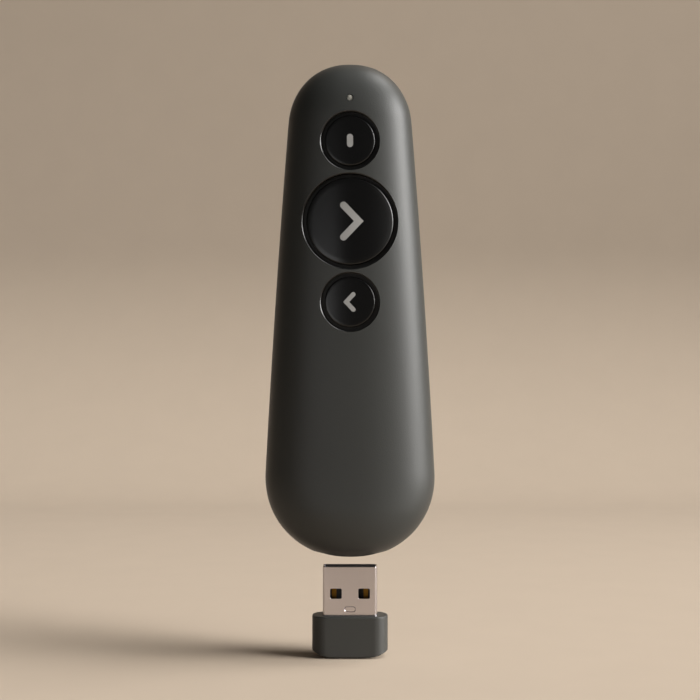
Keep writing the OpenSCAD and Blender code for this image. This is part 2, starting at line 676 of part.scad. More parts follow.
module coil() {
    n = rings_per_turn * spring_turns;
    sides = 6;
    function ring(q) = let (p = coil_at(q), a = 360 * q * spring_turns, out = [cos(a), sin(a), 0])
        [for (k = [0:sides - 1]) p + spring_wire / 2 * (cos(60 * k) * out + sin(60 * k) * [0, 0, 1])];
    points = [for (k = [0:n]) each ring(k / n)];
    faces = concat(
        [for (k = [0:n - 1], j = [0:sides - 1]) let (a = k * sides + j, b = k * sides + (j + 1) % sides)
            each [[a, a + sides, b + sides], [a, b + sides, b]]],
        [for (j = [1:sides - 2]) [0, j, j + 1]],
        [for (j = [1:sides - 2]) [n * sides, n * sides + j + 1, n * sides + j]]);
    polyhedron(points, faces);
}
module spring_bottom() color(nickel) at(-cell_x, bay_low, cell_d) coil();
module spring_top() color(nickel) at(cell_x, bay_top, cell_d) mirror([0, 0, 1]) coil();

contact_w = 4;
module bridge_contact() color(nickel)
    block([-cell_x - contact_w, bay_low - bay_plate_t, plate_back + 0.3],
          [cell_x + contact_w, bay_low, cell_d + 2.4]);
module top_contact(x) color(nickel) {
    block([x - contact_w, bay_top, plate_back + 0.3], [x + contact_w, bay_top + bay_plate_t, cell_d + 2.4]);
    block([x - 1, bay_top, board_front - 0.4], [x + 1, bay_top + bay_plate_t, plate_back + 0.4]);
}
module contact_plus() top_contact(-cell_x);
module contact_minus() top_contact(cell_x);

module case_screws() color(nickel) for (p = screw_spots) {
    bar(shank_r, boss_front(p) + 0.4, head_seat + 0.1, p[0], p[1]);
    difference() {
        bar(head_r, head_seat, head_seat + head_t, p[0], p[1]);
        for (a = [0, 90]) at(p[0], p[1], head_seat + head_t) rotate([0, a, 0])
            cube([2, 1, 0.4], center = true);
    }
}

// ---- Storage sleeve -------------------------------------------------------------------------
leaf_w = 2.5;
leaf_t = 0.25;
module receiver_sleeve() color(inner_plastic) difference() {
    block([-slot_w - sleeve_t, sleeve_low, -slot_d - sleeve_t],
          [slot_w + sleeve_t, slot_top + sleeve_t, slot_d + sleeve_t]);
    block([-slot_w, sleeve_low - 1, -slot_d], [slot_w, slot_top, slot_d]);
}

// leaf with a bump that rides against the back of the stored plug
module sleeve_spring() {
    low = dock_sink + receiver_h + 1.5;
    high = slot_top - 0.3;
    bump = plug_d / 2 + 0.12;
    steps = 12;
    function rest_d(u) = slot_d - leaf_t - (slot_d - leaf_t - bump) * pow(sin(180 * u), 2);
    path = [for (k = [0:steps]) [low + (high - low) * k / steps, rest_d(k / steps)]];
    color(nickel) at(-leaf_w, 0, 0) rotate([0, 90, 0]) linear_extrude(2 * leaf_w) polygon(concat(
        [for (p = path) [-p[0], p[1]]],
        [for (k = [steps:-1:0]) [-path[k][0], path[k][1] + leaf_t]]));
}

// ---- Button pieces --------------------------------------------------------------------------
module laser_cap() color(gloss_black) cap(laser_h, small_cap_r) inlay(laser_h, small_cap_r, 1) pill_outline();
module laser_mark() color(silver_grey) inlay(laser_h, small_cap_r, 0.03) pill_outline();
module next_cap() color(gloss_black) cap(next_h, large_cap_r) inlay(next_h, large_cap_r, 1) next_outline();
module next_mark() color(silver_grey) inlay(next_h, large_cap_r, 0.03) next_outline();
module previous_cap() color(gloss_black)
    cap(previous_h, small_cap_r) inlay(previous_h, small_cap_r, 1) previous_outline();
module previous_mark() color(silver_grey) inlay(previous_h, small_cap_r, 0.03) previous_outline();

// ---- Receiver -------------------------------------------------------------------------------
round_run = 5;        // how far the rounding under the housing runs in from each end
base_edge = 0.5;      // chamfer along the front and back of the base
cavity_t = 1;
insert_l = 5;         // length of the plug's metal inside the housing

module from_base(z) { translate([0, seam_y, z]) children(); }

module receiver_housing() color(soft_black) from_base(0) difference() {
    intersection() {
        linear_extrude(receiver_h) {
            square([receiver_w - 2 * receiver_corner, receiver_d], center = true);
            square([receiver_w, receiver_d - 2 * receiver_corner], center = true);
            for (sx = [-1, 1], sy = [-1, 1])
                translate([sx * (receiver_w / 2 - receiver_corner), sy * (receiver_d / 2 - receiver_corner)])
                    circle(r = receiver_corner);
        }
        translate([0, receiver_d, 0]) rotate([90, 0, 0]) linear_extrude(2 * receiver_d)
            polygon(both_sides(concat(
                [for (k = [0:8])
                    [receiver_round * pow(k / 8, 2), receiver_w / 2 - round_run * (1 - k / 8)]],
                [[receiver_h - receiver_chamfer, receiver_w / 2],
                 [receiver_h, receiver_w / 2 - receiver_chamfer]])));
        translate([-receiver_w, 0, 0]) rotate([90, 0, 90]) linear_extrude(2 * receiver_w)
            polygon(both_sides([[0, receiver_d / 2 - base_edge], [base_edge, receiver_d / 2],
                [receiver_h - receiver_chamfer, receiver_d / 2],
                [receiver_h, receiver_d / 2 - receiver_chamfer]]));
    }
    translate([0, 0, receiver_h - insert_l / 2 + 0.5])
        cube([plug_w + 0.1, plug_d + 0.1, insert_l + 1], center = true);
    translate([0, 0, 1.2 + (receiver_h - 1.2) / 2])
        cube([plug_w - 0.6, plug_d - 0.8, receiver_h - 1.2], center = true);
}

window_w = 2.5;
window_h = 2.2;
window_x = 3.1;
window_drop = 5.9;    // from the plug's tip to the middle of its windows
dimple_drop = 9.35;
dimple_w = 2.4;
dimple_h = 1.1;

module usb_shell() color(nickel) from_base(receiver_h - insert_l) difference() {
    full = insert_l + plug_l;
    linear_extrude(full) difference() {
        square([plug_w, plug_d], center = true);
        square([plug_w - 2 * plug_t, plug_d - 2 * plug_t], center = true);
    }
    for (s = [-1, 1]) translate([s * window_x, 0, full - window_drop])
        cube([window_w, plug_d + 2, window_h], center = true);
    translate([0, -plug_d / 2 - 0.2, full - dimple_drop])
        cube([dimple_w, 0.8, dimple_h], center = true);
}

tongue_t = 1.85;
tongue_d = plug_d / 2 - plug_t - 0.02;     // depth of the tongue's back face
module usb_tongue() color([0.1, 0.1, 0.1]) from_base(receiver_h - insert_l + 0.5)
    translate([-plug_w / 2 + plug_t + 0.1, tongue_d - tongue_t, 0])
        cube([plug_w - 2 * plug_t - 0.2, tongue_t, insert_l + plug_l - 1]);

contact_spots = [-3.5, -1, 1, 3.5];
module usb_contacts() color(gold) from_base(receiver_h - insert_l + 2)
    for (x = contact_spots) translate([x - 0.5, tongue_d - tongue_t - 0.12, 0])
        cube([1, 0.12, insert_l + plug_l - (abs(x) > 2 ? 3.4 : 4.4)]);

module receiver_board() color(board_green) from_base(1.3)
    translate([-plug_w / 2 + 0.6, -0.4, 0]) cube([plug_w - 1.2, 0.6, receiver_h - insert_l + 0.5 - 1.3]);

receiver_chip_w = 3.2;
receiver_chip_l = 2.2;
module receiver_chip() color(chip_black) from_base(1.6)
    translate([-receiver_chip_w / 2, -0.4 - 0.7, 0]) cube([receiver_chip_w, 0.7, receiver_chip_l]);

front_shell();
back_shell();
chassis();
circuit_board();
board_chips();
laser_switch();
next_switch();
previous_switch();
status_led();
led_light_pipe();
laser_barrel();
laser_diode();
laser_lens();
laser_window();
battery_left();
battery_right();
spring_bottom();
spring_top();
bridge_contact();
contact_plus();
contact_minus();
receiver_sleeve();
sleeve_spring();
case_screws();
laser_cap();
laser_mark();
laser_plunger();
next_cap();
next_mark();
next_plunger();
previous_cap();
previous_mark();
previous_plunger();
battery_door();
door_pad();
receiver_housing();
usb_shell();
usb_tongue();
usb_contacts();
receiver_board();
receiver_chip();
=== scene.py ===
import math

import bmesh
import bpy
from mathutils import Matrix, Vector


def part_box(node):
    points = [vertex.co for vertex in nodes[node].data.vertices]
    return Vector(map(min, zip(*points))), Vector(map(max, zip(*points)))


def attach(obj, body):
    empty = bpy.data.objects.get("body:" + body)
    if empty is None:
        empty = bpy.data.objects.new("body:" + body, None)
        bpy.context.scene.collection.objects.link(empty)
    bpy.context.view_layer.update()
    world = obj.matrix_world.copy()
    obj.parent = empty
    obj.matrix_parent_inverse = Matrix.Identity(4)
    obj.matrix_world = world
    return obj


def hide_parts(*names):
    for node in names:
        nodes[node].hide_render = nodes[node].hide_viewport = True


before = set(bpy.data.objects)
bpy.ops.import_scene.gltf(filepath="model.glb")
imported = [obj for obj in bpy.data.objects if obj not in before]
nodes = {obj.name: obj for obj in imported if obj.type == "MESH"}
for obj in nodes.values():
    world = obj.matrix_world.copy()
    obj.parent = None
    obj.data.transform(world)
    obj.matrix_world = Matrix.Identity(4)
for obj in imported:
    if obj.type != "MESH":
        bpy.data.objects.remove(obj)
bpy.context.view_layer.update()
bpy.ops.object.select_all(action="DESELECT")

# ---- Receiver housing -------------------------------------------------------------------------
# The moulded end of the receiver, by which it is pulled out of the remote. Black ABS, welded
# around the plug, with the fine even grain of a spark-eroded mould and rounded rims.

MM = 0.001
SEAM_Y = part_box("usb_shell")[0].y / 2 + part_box("usb_shell")[1].y / 2
RECEIVER_W, RECEIVER_D, RECEIVER_H = 16.7 * MM, 7.5 * MM, 9.0 * MM
CORNER_R = 3.2 * MM
TOP_RIM, BASE_RIM = 0.4 * MM, 0.35 * MM
BASE_RUN, BASE_RISE, BASE_FADE, BASE_ROWS = 5.0 * MM, 1.3 * MM, 2.0 * MM, 10


def begin(name):
    """Names the primitive that was just added, fixes its place in its mesh and opens it."""
    piece = bpy.context.object
    piece.name = piece.data.name = name
    bpy.ops.object.transform_apply(location=True, rotation=True, scale=True)
    bpy.ops.object.mode_set(mode="EDIT")
    bpy.ops.mesh.select_mode(type="VERT")
    return piece


def pick(kind, test):
    """Selects the corners, edges or faces of the open mesh that pass a test."""
    bpy.ops.mesh.select_mode(type=kind)
    bpy.ops.mesh.select_all(action="DESELECT")
    mesh = bmesh.from_edit_mesh(bpy.context.edit_object.data)
    mesh.normal_update()
    for part in {"VERT": mesh.verts, "EDGE": mesh.edges, "FACE": mesh.faces}[kind]:
        if test(part):
            part.select_set(True)
    mesh.select_flush_mode()
    bmesh.update_edit_mesh(bpy.context.edit_object.data)


def middle(edge):
    return (edge.verts[0].co + edge.verts[1].co) / 2


def shape(move):
    """Puts each corner of the open mesh where move says."""
    mesh = bmesh.from_edit_mesh(bpy.context.edit_object.data)
    for corner in mesh.verts:
        corner.co = move(corner.co)
    bmesh.update_edit_mesh(bpy.context.edit_object.data)


def close(piece, angle=30):
    """Merges doubles, turns the faces outwards, ends editing and shades smooth up to an angle."""
    bpy.ops.mesh.select_all(action="SELECT")
    bpy.ops.mesh.remove_doubles(threshold=1e-7)
    bpy.ops.mesh.normals_make_consistent(inside=False)
    bpy.ops.object.mode_set(mode="OBJECT")
    bpy.ops.object.shade_smooth_by_angle(angle=math.radians(angle))
    bpy.ops.object.select_all(action="DESELECT")
    return piece


def apply(piece, kind, **settings):
    """Adds a modifier to a piece and applies it."""
    modifier = piece.modifiers.new(kind, kind)
    for name, value in settings.items():
        setattr(modifier, name, value)
    bpy.context.view_layer.objects.active = piece
    bpy.ops.object.modifier_apply(modifier=kind)


def keep_flats(piece):
    """Lets the large faces set the shading, so they look flat beside their rounded edges."""
    apply(piece, "WEIGHTED_NORMAL", keep_sharp=True, weight=100)


def linear(code):
    """An sRGB hex colour as the linear colour that a shader takes."""
    parts = [int(code[k:k + 2], 16) / 255 for k in (1, 3, 5)]
    return [p / 12.92 if p <= 0.04045 else ((p + 0.055) / 1.055) ** 2.4 for p in parts] + [1.0]


def add(tree, kind, inputs, **settings):
    """Adds a node: inputs are values or sockets by name, settings are its properties."""
    new = tree.nodes.new("ShaderNode" + kind)
    for name, value in settings.items():
        setattr(new, name, value)
    for name, value in inputs.items():
        if isinstance(value, bpy.types.NodeSocket):
            tree.links.new(value, new.inputs[name])
        else:
            new.inputs[name].default_value = value
    return new


def finish(name, colour, grain_mm, mottle, relief_mm=0.004, speckle=0.0, **sockets):
    """A material with a grain of a real size: in its relief, and a little in its colour."""
    made = bpy.data.materials.new(name)
    made.use_nodes = True
    tree = made.node_tree
    shader = tree.nodes["Principled BSDF"]
    where = add(tree, "TexCoord", {}).outputs["Object"]
    grain = add(tree, "TexNoise", {"Vector": where, "Scale": 1 / (grain_mm * MM), "Detail": 3.0,
                                   "Roughness": 0.6})
    broad = add(tree, "TexNoise", {"Vector": where, "Scale": 60.0, "Detail": 2.0})
    mixed = add(tree, "Math", {0: grain.outputs["Fac"], 1: speckle}, operation="MULTIPLY")
    level = add(tree, "Math", {0: broad.outputs["Fac"], 1: mixed.outputs["Value"]}, operation="ADD")
    tone = add(tree, "ValToRGB", {"Fac": level.outputs["Value"]})
    for stop, place, change in zip(tone.color_ramp.elements, (0.3, 0.7), (-mottle, mottle)):
        stop.color = [c * (1 + change) for c in linear(colour)[:3]] + [1.0]
        stop.position = place + speckle * place
    tree.links.new(tone.outputs["Color"], shader.inputs["Base Color"])
    bump = add(tree, "Bump", {"Height": grain.outputs["Fac"], "Strength": 1.0,
                              "Distance": relief_mm * MM})
    tree.links.new(bump.outputs["Normal"], shader.inputs["Normal"])
    for socket, value in sockets.items():
        shader.inputs[socket.replace("_", " ")].default_value = value
    return made


def dress(piece, material):
    piece.data.materials.clear()
    piece.data.materials.append(material)


def base_height(x):
    """The underside curves up towards both ends."""
    u = max(0.0, min(1.0, (abs(x) - RECEIVER_W / 2 + BASE_RUN) / BASE_RUN))
    return BASE_RISE * u * u


bpy.ops.mesh.primitive_cube_add(size=1, location=(0, SEAM_Y, RECEIVER_H / 2),
                                scale=(RECEIVER_W, RECEIVER_D, RECEIVER_H))
receiver_end = begin("receiver_end")
pick("EDGE", lambda e: abs(e.verts[0].co.z - e.verts[1].co.z) > RECEIVER_H / 2)
bpy.ops.mesh.bevel(offset=CORNER_R, segments=14, affect="EDGES")
for level, width, rounds in ((RECEIVER_H, TOP_RIM, 6), (0, BASE_RIM, 4)):
    pick("EDGE", lambda e: abs(middle(e).z - level) < 1e-6)
    bpy.ops.mesh.bevel(offset=width, segments=rounds, affect="EDGES")
for side in (-1, 1):
    for k in range(BASE_ROWS):
        row_x = side * (RECEIVER_W / 2 - BASE_RUN * (1 - k / BASE_ROWS))
        bpy.ops.mesh.select_all(action="SELECT")
        bpy.ops.mesh.bisect(plane_co=(row_x, 0, 0), plane_no=(1, 0, 0))
shape(lambda c: Vector((c.x, c.y, c.z + base_height(c.x) * max(0.0, 1 - c.z / BASE_FADE))))
close(receiver_end, 40)
keep_flats(receiver_end)
grained_abs = finish("grained_black_abs", "#3E3E3B", grain_mm=0.28, relief_mm=0.006, mottle=0.06,
                     Roughness=0.5, IOR=1.5)
dress(receiver_end, grained_abs)
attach(receiver_end, "receiver")
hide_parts("receiver_housing")

# ---- USB plug ---------------------------------------------------------------------------------
# The plug's shell: steel strip 0.3 mm thick, folded around the tongue and nickel plated. It has
# two latch windows on each wide face, and a pressed dimple that holds it in the housing.

PLUG_W, PLUG_D, PLUG_T = 12.0 * MM, 4.5 * MM, 0.32 * MM
PLUG_LOW, PLUG_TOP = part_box("usb_shell")[0].z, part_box("usb_shell")[1].z
PLUG_CORNER, PLUG_EDGE = 0.75 * MM, 0.1 * MM
WINDOW_W, WINDOW_H, WINDOW_X = 2.5 * MM, 2.2 * MM, 3.1 * MM
WINDOW_Z, WINDOW_CORNER, SINK = PLUG_TOP - 5.9 * MM, 0.28 * MM, 0.13 * MM
DIMPLE_W, DIMPLE_T, DIMPLE_H = 2.25 * MM, 0.4 * MM, 0.95 * MM
DIMPLE_Z, DIMPLE_CORNER, DIMPLE_FLARE = PLUG_TOP - 9.35 * MM, 0.46 * MM, 0.3 * MM


def leave(piece):
    """Ends editing as it is, with nothing selected."""
    bpy.ops.object.mode_set(mode="OBJECT")
    bpy.ops.object.select_all(action="DESELECT")
    return piece


def reopen(piece):
    """Opens a piece again for editing."""
    bpy.context.view_layer.objects.active = piece
    bpy.ops.object.mode_set(mode="EDIT")


def cut(piece, tool):
    """Cuts a tool out of a piece and throws the tool away."""
    apply(piece, "BOOLEAN", object=tool, operation="DIFFERENCE", solver="EXACT")
    bpy.data.objects.remove(tool)


def rounded_tool(place, size, radius, flare=0.0):
    """A block to cut with, its edges along Y rounded. It may flare outwards in front and behind."""
    bpy.ops.mesh.primitive_cube_add(size=1, location=place, scale=size)
    tool = begin("tool")
    pick("EDGE", lambda e: abs(e.verts[0].co.y - e.verts[1].co.y) > size[1] / 2)
    bpy.ops.mesh.bevel(offset=radius, segments=5, affect="EDGES")
    if flare:
        outwards = 1 if place[1] > SEAM_Y else -1
        pick("VERT", lambda v: (v.co.y - place[1]) * outwards > 0)
        bpy.ops.transform.resize(value=(1 + 2 * flare / size[0], 1, 1 + 2 * flare / size[2]),
                                 center_override=place)
    return leave(tool)


bpy.ops.mesh.primitive_cube_add(size=1, location=(0, SEAM_Y, (PLUG_LOW + PLUG_TOP) / 2),
                                scale=(PLUG_W, PLUG_D, PLUG_TOP - PLUG_LOW))
plug_shell = begin("plug_shell")
pick("EDGE", lambda e: abs(e.verts[0].co.z - e.verts[1].co.z) > 1 * MM)
bpy.ops.mesh.bevel(offset=PLUG_CORNER, segments=8, affect="EDGES")
pick("FACE", lambda f: abs(f.normal.z) > 0.9)
bpy.ops.mesh.delete(type="FACE")
close(plug_shell)
apply(plug_shell, "SOLIDIFY", thickness=PLUG_T, offset=-1, use_even_offset=True)
for face_y in (-1, 1):
    face = SEAM_Y + face_y * PLUG_D / 2
    for side in (-1, 1):
        window = (side * WINDOW_X, face, WINDOW_Z)
        cut(plug_shell, rounded_tool(window, (WINDOW_W, 1 * MM, WINDOW_H), WINDOW_CORNER))
        cut(plug_shell, rounded_tool(window, (WINDOW_W - SINK, 2 * SINK, WINDOW_H - SINK),
                                     WINDOW_CORNER, 1.5 * SINK))
    cut(plug_shell, rounded_tool((0, face, DIMPLE_Z), (DIMPLE_W, DIMPLE_T, DIMPLE_H), DIMPLE_CORNER,
                                 DIMPLE_FLARE))
reopen(plug_shell)
pick("EDGE", lambda e: len(e.link_faces) == 2 and e.calc_face_angle(0) > 0.8
     and middle(e).z > PLUG_TOP - 0.001 * MM)
bpy.ops.mesh.bevel(offset=PLUG_EDGE, segments=3, affect="EDGES", clamp_overlap=True)
close(plug_shell, 30)
keep_flats(plug_shell)
nickel = finish("nickel_plated_steel", "#CCC7CA", grain_mm=0.5, relief_mm=0.0008, mottle=0.03,
                Metallic=1.0, Roughness=0.22)
dress(plug_shell, nickel)
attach(plug_shell, "receiver")
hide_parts("usb_shell")

# The tongue is black glass-filled PBT, and its contact strips are gold plated. Behind them lie
# the receiver's small green board and its radio chip.
black_pbt = finish("moulded_black_pbt", "#151516", grain_mm=0.2, mottle=0.1, Roughness=0.55)
# The gold is painted much darker than bare gold plate. This is painted shade that stands in for the
# shadow inside the plug's shell, where the contacts are seen through the windows.
gold_with_painted_shade = finish("gold_contact_with_painted_shade", "#7A5A26", grain_mm=0.4, relief_mm=0.001, mottle=0.05,
                    Metallic=1.0, Roughness=0.4)
solder_mask = finish("green_solder_mask", "#14502F", grain_mm=0.9, relief_mm=0.01, mottle=0.25,
                     Roughness=0.35)
epoxy = finish("moulded_chip_epoxy", "#1B1B1D", grain_mm=0.1, relief_mm=0.003, mottle=0.1,
               Roughness=0.6)
dress(nodes["usb_tongue"], black_pbt)
dress(nodes["usb_contacts"], gold_with_painted_shade)
dress(nodes["receiver_board"], solder_mask)
dress(nodes["receiver_chip"], epoxy)

# ---- Front housing ----------------------------------------------------------------------------
# The front half of the remote: ABS 1.8 mm thick, moulded with its three button wells and sprayed
# with soft-touch paint, which is dark grey, even and barely shiny.

# From here on sizes are in mm: heights from the remote's lower tip, depths behind its parting
# plane. A round end is given as its length and its squareness.
LIFT, BODY_L, WALL, SEAM_GAP = 21.55, 109.0, 1.8, 0.2
FLANK_LOW, FLANK_TOP, FLANK_BOW = 19.6, 12.55, 0.53
LOW_ROUND, TOP_ROUND, SIDE_ROUND = (19, 2.03), (13.2, 2.2), (12.5, 2.1)
FRONT_LOW_D, FRONT_FALL = 11, 3
BACK_D, BACK_FALL, BACK_FULL_H = 15, 6.8, 30
FRONT, BACK = -1, 1
SQUARENESS = {FRONT: 2.3, BACK: 2.2}
ACROSS, ROWS, TIP = 72, 150, 0.01


def rounding(u, e):
    return (1 - (1 - max(0.0, min(1.0, u))) ** e) ** (1 / e)


def ends(t, low, top):
    """How full the body is at height t: less than 1 where its two ends round off."""
    return rounding(t / low[0], low[1]) * rounding((BODY_L - t) / top[0], top[1])


def half_width(t):
    s = t / BODY_L
    flank = FLANK_LOW * (1 - s) + FLANK_TOP * s + FLANK_BOW * (1 - (2 * s - 1) ** 2)
    return flank * ends(t, LOW_ROUND, TOP_ROUND)


def depth(side, t):
    """Depth of the body in front of or behind its parting plane."""
    if side == FRONT:
        full = FRONT_LOW_D - FRONT_FALL * t / BODY_L
    else:
        full = BACK_D - BACK_FALL * (max(0.0, t - BACK_FULL_H) / (BODY_L - BACK_FULL_H)) ** 2
    return full * ends(t, SIDE_ROUND, SIDE_ROUND)


def surface_at(side, x, t):
    """Depth of the outer surface at x and height t."""
    e = SQUARENESS[side]
    return depth(side, t) * max(0.0, 1 - min(1.0, abs(x) / half_width(t)) ** e) ** (1 / e)


def half_skin(name, side):
    """Half of the body's outer skin: half an oval, drawn up ring by ring from the lower tip."""
    bpy.ops.mesh.primitive_circle_add(vertices=2 * ACROSS, radius=1)
    skin = begin(name)
    pick("VERT", lambda v: side * v.co.y < -1e-4)
    bpy.ops.mesh.delete(type="VERT")
    power = 2 / SQUARENESS[side]
    shape(lambda c: Vector((math.copysign(abs(c.x) ** power, c.x),
                            side * abs(c.y if abs(c.y) > 1e-5 else 0.0) ** power, 0)))
    heights = [BODY_L * (1 - math.cos(math.pi * k / ROWS)) / 2 for k in range(ROWS + 1)]
    heights[0], heights[-1] = TIP, BODY_L - TIP
    plane = SEAM_Y + side * SEAM_GAP / 2 * MM
    bpy.ops.mesh.select_all(action="SELECT")
    w, d, last = half_width(heights[0]), depth(side, heights[0]), heights[0]
    bpy.ops.transform.resize(value=(w * MM, d * MM, 1), center_override=(0, 0, 0))
    bpy.ops.transform.translate(value=(0, plane, (LIFT + last) * MM))
    for t in heights[1:]:
        bpy.ops.mesh.extrude_region_move(TRANSFORM_OT_translate={"value": (0, 0, (t - last) * MM)})
        bpy.ops.transform.resize(value=(half_width(t) / w, depth(side, t) / d, 1),
                                 center_override=(0, plane, (LIFT + t) * MM))
        w, d, last = half_width(t), depth(side, t), t
    bpy.ops.mesh.edge_face_add()
    pick("EDGE", lambda e: middle(e).z < (LIFT + heights[0]) * MM + 1e-7)
    bpy.ops.mesh.edge_face_add()
    close(skin)
    if sum(f.normal.y for f in skin.data.polygons) * side < 0:
        skin.data.flip_normals()
    return skin


def turned(name, profile, corners):
    """A round piece about Z: a circle extruded along a closed profile of (radius, height)."""
    r, h = profile[0]
    bpy.ops.mesh.primitive_circle_add(vertices=corners, radius=r * MM, location=(0, 0, h * MM))
    piece = begin(name)
    bpy.ops.mesh.select_all(action="SELECT")
    for r1, h1 in profile[1:]:
        bpy.ops.mesh.extrude_region_move(TRANSFORM_OT_translate={"value": (0, 0, (h1 - h) * MM)})
        bpy.ops.transform.resize(value=(r1 / r, r1 / r, 1), center_override=(0, 0, h1 * MM))
        r, h = r1, h1
    return piece


def join_ends():
    """Bridges the first and last circles of a turned ring."""
    pick("EDGE", lambda e: len(e.link_faces) == 1)
    bpy.ops.mesh.bridge_edge_loops()


def cap_ends():
    """Fills the open circles of a turned piece."""
    pick("EDGE", lambda e: len(e.link_faces) == 1)
    bpy.ops.mesh.edge_face_add()


UPRIGHT, ALONG_X, ALONG_Y = (0, 0, 0), (0, math.pi / 2, 0), (math.pi / 2, 0, 0)


def bar(name, r, length, middle_at, way, corners):
    """Opens a round bar, its middle at (x, height, depth)."""
    x, t, d = middle_at
    bpy.ops.mesh.primitive_cylinder_add(
        vertices=corners, radius=r * MM, depth=length * MM, rotation=way,
        location=(x * MM, SEAM_Y + d * MM, (LIFT + t) * MM))
    return begin(name)


def bore(piece, x, t, r, d0, d1, corners=128):
    """Drills a hole along Y at (x, height t), from depth d0 to d1."""
    cut(piece, leave(bar("tool", r, d1 - d0, (x, t, (d0 + d1) / 2), ALONG_Y, corners)))


SMALL_R, LARGE_R, WELL_GAP, WELL_SPACE = 5.45, 9.45, 0.85, 0.85
LASER_T = BODY_L - 17.8
NEXT_T = LASER_T - SMALL_R - LARGE_R - 2 * WELL_GAP - WELL_SPACE
PREVIOUS_T = NEXT_T - SMALL_R - LARGE_R - 2 * WELL_GAP - WELL_SPACE
CAP_SINK, CAP_EDGE, TRAVEL, PRESS_GAP = 0.35, 0.55, 0.5, 0.15
RIM_W, WELL_WALL, FLOOR_T, STEM_HOLE_R = 0.2, 0.9, 0.8, 2.2
LED_T, LED_R, LED_GAP = BODY_L - 8.5, 0.66, 0.1
THROUGH_FRONT = -20, -2
buttons = {"laser": (LASER_T, SMALL_R), "next": (NEXT_T, LARGE_R),
           "previous": (PREVIOUS_T, SMALL_R)}


def drop(t, r):
    """How far the front falls back from its middle to x = r."""
    return surface_at(FRONT, 0, t) - surface_at(FRONT, r, t)


def cap_back(t, r):
    """Depth of the back of a button's cap."""
    return -surface_at(FRONT, 0, t) + CAP_SINK + drop(t, r) + CAP_EDGE


soft_touch = finish("soft_touch_paint", "#393A38", grain_mm=0.3, relief_mm=0.018, mottle=0.05,
                    speckle=0.6, Roughness=0.45, IOR=1.5)
front_housing = half_skin("front_housing", FRONT)
apply(front_housing, "SOLIDIFY", thickness=WALL * MM, offset=-1)
for t, r in buttons.values():
    bore(front_housing, 0, t, r + WELL_GAP + RIM_W, *THROUGH_FRONT)
bore(front_housing, 0, LED_T, LED_R + LED_GAP, *THROUGH_FRONT, 48)
DOCK_SINK, END_L, PLUG_L, STORED_GAP = 0.35, 9.0, 10.8, 0.6
SLOT_W, SLOT_D, SLOT_CORNER = 8.65, 4.05, 3.5
SLEEVE_LOW, SLEEVE_ROOM = 4.5, 1.1
SLEEVE_TOP = DOCK_SINK + END_L + PLUG_L + STORED_GAP


def block(name, low, high):
    """Opens a block between two corners (x, height, depth)."""
    centre = [(a + b) / 2 for a, b in zip(low, high)]
    size = [b - a for a, b in zip(low, high)]
    bpy.ops.mesh.primitive_cube_add(
        size=1, location=(centre[0] * MM, SEAM_Y + centre[2] * MM, (LIFT + centre[1]) * MM),
        scale=(size[0] * MM, size[2] * MM, size[1] * MM))
    return begin(name)


def block_tool(low, high, corner=0.0):
    """A block to cut with; its upright edges may be rounded."""
    tool = block("tool", low, high)
    if corner:
        pick("EDGE", lambda e: abs(e.verts[0].co.z - e.verts[1].co.z) > 1 * MM)
        bpy.ops.mesh.bevel(offset=corner * MM, segments=12, affect="EDGES")
    return leave(tool)


def cut_dock(housing):
    """The mouth fits round the receiver's plastic end; behind it the sleeve has its room."""
    cut(housing, block_tool((-SLOT_W, -5, -SLOT_D), (SLOT_W, SLEEVE_LOW + 1, SLOT_D), SLOT_CORNER))
    half_w, half_d = SLOT_W + SLEEVE_ROOM, SLOT_D + SLEEVE_ROOM
    cut(housing, block_tool((-half_w, SLEEVE_LOW - 0.1, -half_d),
                            (half_w, SLEEVE_TOP + SLEEVE_ROOM, half_d)))


cut_dock(front_housing)
reopen(front_housing)
close(front_housing, 35)
dress(front_housing, soft_touch)

# Each well is a cup of unpainted black ABS. Its lip is narrow, polished and rounded, and follows
# the curve of the front, so it catches a thin line of light.
gloss_black = finish("polished_black_abs", "#0A0A0A", grain_mm=0.4, relief_mm=0.0004, mottle=0.04,
                     Roughness=0.3, IOR=1.5)
FLAT = 40
cups = []
for name, (t, r) in buttons.items():
    outer = surface_at(FRONT, 0, t)
    well_r, wall_r = r + WELL_GAP, r + WELL_GAP + WELL_WALL
    well_floor = FLAT + outer + cap_back(t, r) + TRAVEL + PRESS_GAP
    lip = [(well_r + out * RIM_W, 0.005 + deep * RIM_W)
           for out, deep in ((0.98, 0.0), (0.88, 0.05), (0.12, 0.88), (0.0, 1.3))]
    cup = turned(name + "_well", lip + [
        (well_r, well_floor), (STEM_HOLE_R, well_floor), (STEM_HOLE_R, well_floor + FLOOR_T),
        (wall_r, well_floor + FLOOR_T), (wall_r, 1.0), (well_r + RIM_W - 0.005, 1.0)], 160)
    join_ends()

    def seat(c, t=t, outer=outer):
        """Turns the cup to the front. Its lip follows the surface; past FLAT it is level."""
        x, up, deep = c.x / MM, c.y / MM, c.z / MM
        d = deep - (FLAT + outer if deep > FLAT / 2 else surface_at(FRONT, x, t + up))
        return Vector((c.x, SEAM_Y + d * MM, (LIFT + t + up) * MM))

    shape(seat)
    cups.append(close(cup, 25))
    dress(cup, gloss_black)


def join(base, others):
    """Joins pieces to a base piece, which keeps its name."""
    for piece in [base] + others:
        piece.select_set(True)
    bpy.context.view_layer.objects.active = base
    bpy.ops.object.join()
    bpy.ops.object.select_all(action="DESELECT")


join(front_housing, cups)
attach(front_housing, "presenter")
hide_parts("front_shell")

# ---- Status light -----------------------------------------------------------------------------
# A clear acrylic pin carries the light of a diode on the board to the front. Its face is domed,
# and looks pale grey while the diode is off.

